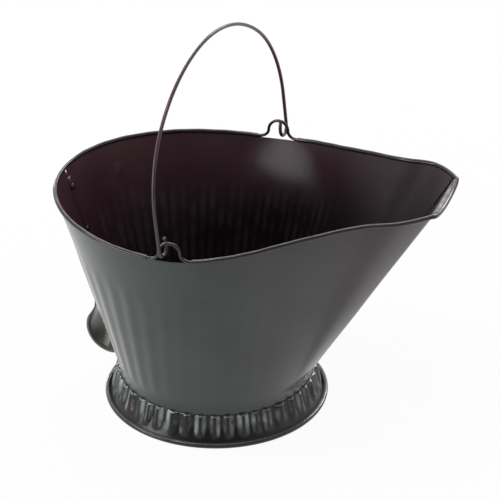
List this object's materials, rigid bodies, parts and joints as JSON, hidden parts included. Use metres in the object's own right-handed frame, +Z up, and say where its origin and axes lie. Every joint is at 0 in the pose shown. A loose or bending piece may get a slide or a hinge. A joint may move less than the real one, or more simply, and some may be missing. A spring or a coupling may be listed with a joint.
{
  "type": "coal scuttle",
  "caption": "Round-bottomed sheet-metal fuel scuttle with a flared fluted body, wide pouring spout, wired rim, pleated foot, swinging wire bail and a fixed tipping handle.",
  "frame": {"origin": "centre of the round foot, in the plane that it stands on", "axes": "+X towards the pouring spout, +Z up, Y across the pail along the bail's hinge line"},
  "size_m": [0.4557, 0.3337, 0.4513],
  "materials": {
    "black_enamel": "satin black lacquer on sheet steel",
    "black_wire": "satin black lacquer on drawn steel wire",
    "bare_wire": "plain drawn steel wire, closed in by the hem"
  },
  "bodies": {
    "pail": {"body_shell": "black_enamel", "back_seam": "black_enamel", "seam_rivets": "black_enamel", "rim_bead": "black_enamel", "rim_wire": "black_wire", "bottom_pan": "black_enamel", "foot_skirt": "black_enamel", "foot_hem": "black_enamel", "foot_wire": "bare_wire", "rear_handle": "black_enamel", "handle_top_rivets": "black_enamel", "handle_bottom_rivets": "black_enamel"},
    "bail": {"bail": "black_wire"}
  },
  "joints": [
    {"name": "bail_swing", "type": "hinge", "parent": "pail", "child": "bail", "pos_m": [0.013, -0.00085, 0.26525], "axis": [0.0635, 0.998, 0.0055], "range_deg": [-82, 82]}
  ]
}
